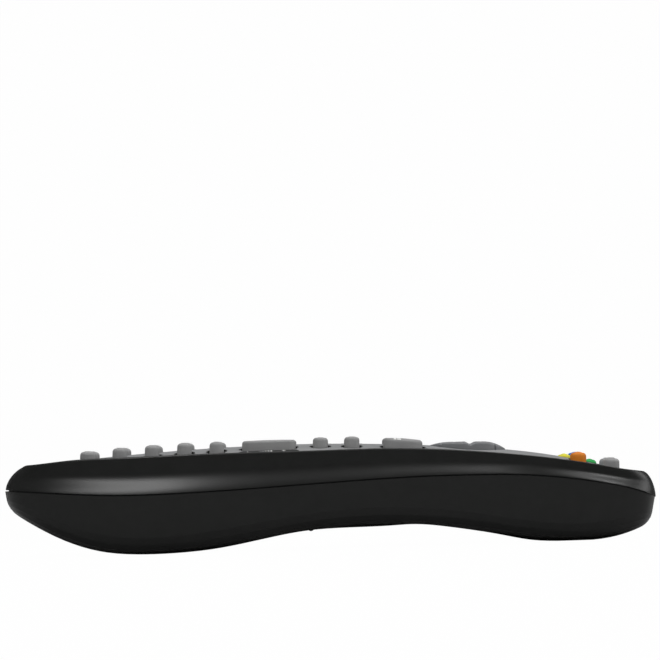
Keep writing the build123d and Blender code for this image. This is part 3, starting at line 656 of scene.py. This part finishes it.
def stagePaper():  # white paper that shows as white behind the object and still takes its shadow
    tree, shader, material = newMaterial("white stage paper", {"Roughness": 0.9,
                                                               "Base Color": srgb(stageSetup["paper"])})
    rays = addNode(tree, "ShaderNodeLightPath")
    share = addNode(tree, "ShaderNodeMath", [(0, rays.outputs["Is Camera Ray"]), (1, stageSetup["cameraShare"])],
                    operation="MULTIPLY")
    glow = addNode(tree, "ShaderNodeEmission", [("Color", srgb("#ffffff")), ("Strength", 1.0)])
    mix = addNode(tree, "ShaderNodeMixShader", [("Fac", share.outputs[0]), (1, shader.outputs[0]),
                                                (2, glow.outputs[0])])
    tree.links.new(mix.outputs[0], tree.nodes["Material Output"].inputs["Surface"])
    return material


def makeFloor():
    sheet = bmesh.new()
    half = stageSetup["floorSize"] / 2
    bmesh.ops.create_grid(sheet, x_segments=1, y_segments=1, size=half)
    back = [edge for edge in sheet.edges if all(v.co.y > 0 for v in edge.verts)]
    for vert in back[0].verts:
        vert.co.y = stageSetup["backdropAt"]
    raised = bmesh.ops.extrude_edge_only(sheet, edges=back)
    bmesh.ops.translate(sheet, vec=(0, 0, stageSetup["backdropHeight"]),
                        verts=[v for v in raised["geom"] if isinstance(v, bmesh.types.BMVert)])
    mesh = bpy.data.meshes.new("stage")
    sheet.to_mesh(mesh)
    sheet.free()
    floor = bpy.data.objects.new("stage", mesh)
    floor.data.materials.append(stagePaper())
    bpy.context.scene.collection.objects.link(floor)


def makeLamp(name, azimuth, elevation, distance, wide, high, energy):
    lamp = bpy.data.lights.new(name, "AREA")
    lamp.shape = "RECTANGLE"
    lamp.size = wide
    lamp.size_y = high
    lamp.energy = energy
    holder = bpy.data.objects.new(name, lamp)
    away = Vector((sin(radians(azimuth)) * cos(radians(elevation)),
                   -cos(radians(azimuth)) * cos(radians(elevation)), sin(radians(elevation))))
    holder.location = away * distance
    holder.rotation_euler = (-away).to_track_quat("-Z", "Y").to_euler()
    bpy.context.scene.collection.objects.link(holder)


def makeWorld():
    world = bpy.data.worlds.new("studio")
    world.use_nodes = True
    background = world.node_tree.nodes["Background"]
    background.inputs["Strength"].default_value = stageSetup["worldStrength"]
    background.inputs["Color"].default_value = srgb("#ffffff")
    bpy.context.scene.world = world


makeFloor()
for name, settings in lampSetup.items():
    makeLamp(name, *settings)
makeWorld()
print("stage set with", len(lampSetup), "lamps")


# Camera: a long lens, level with the keys and tilted up a little, rolled with the remote's own lie
cameraSetup = {"distance": 1.48, "frameWidth": 0.2292, "height": 30.7, "tilt": 1.81, "sensor": 36, "near": 0.01,
               "far": 50}


def makeCamera():
    lens = bpy.data.cameras.new("photograph")
    lens.sensor_width = cameraSetup["sensor"]
    lens.lens = cameraSetup["sensor"] * cameraSetup["distance"] / cameraSetup["frameWidth"]
    lens.clip_start = cameraSetup["near"]
    lens.clip_end = cameraSetup["far"]
    camera = bpy.data.objects.new("photograph", lens)
    tilt = radians(cameraSetup["tilt"])
    forward = Vector((0, cos(tilt), 0)) + upAxis * sin(tilt)
    up = upAxis * cos(tilt) - Vector((0, sin(tilt), 0))
    turn = Matrix((alongAxis, up, -forward)).transposed()
    stand = placed(0, -cameraSetup["distance"] / mm, cameraSetup["height"])
    camera.matrix_world = Matrix.Translation(stand) @ turn.to_4x4()
    bpy.context.scene.collection.objects.link(camera)
    bpy.context.scene.camera = camera


makeCamera()
print("camera stands", cameraSetup["distance"], "m away")
bpy.context.scene.view_settings.view_transform = "Standard"
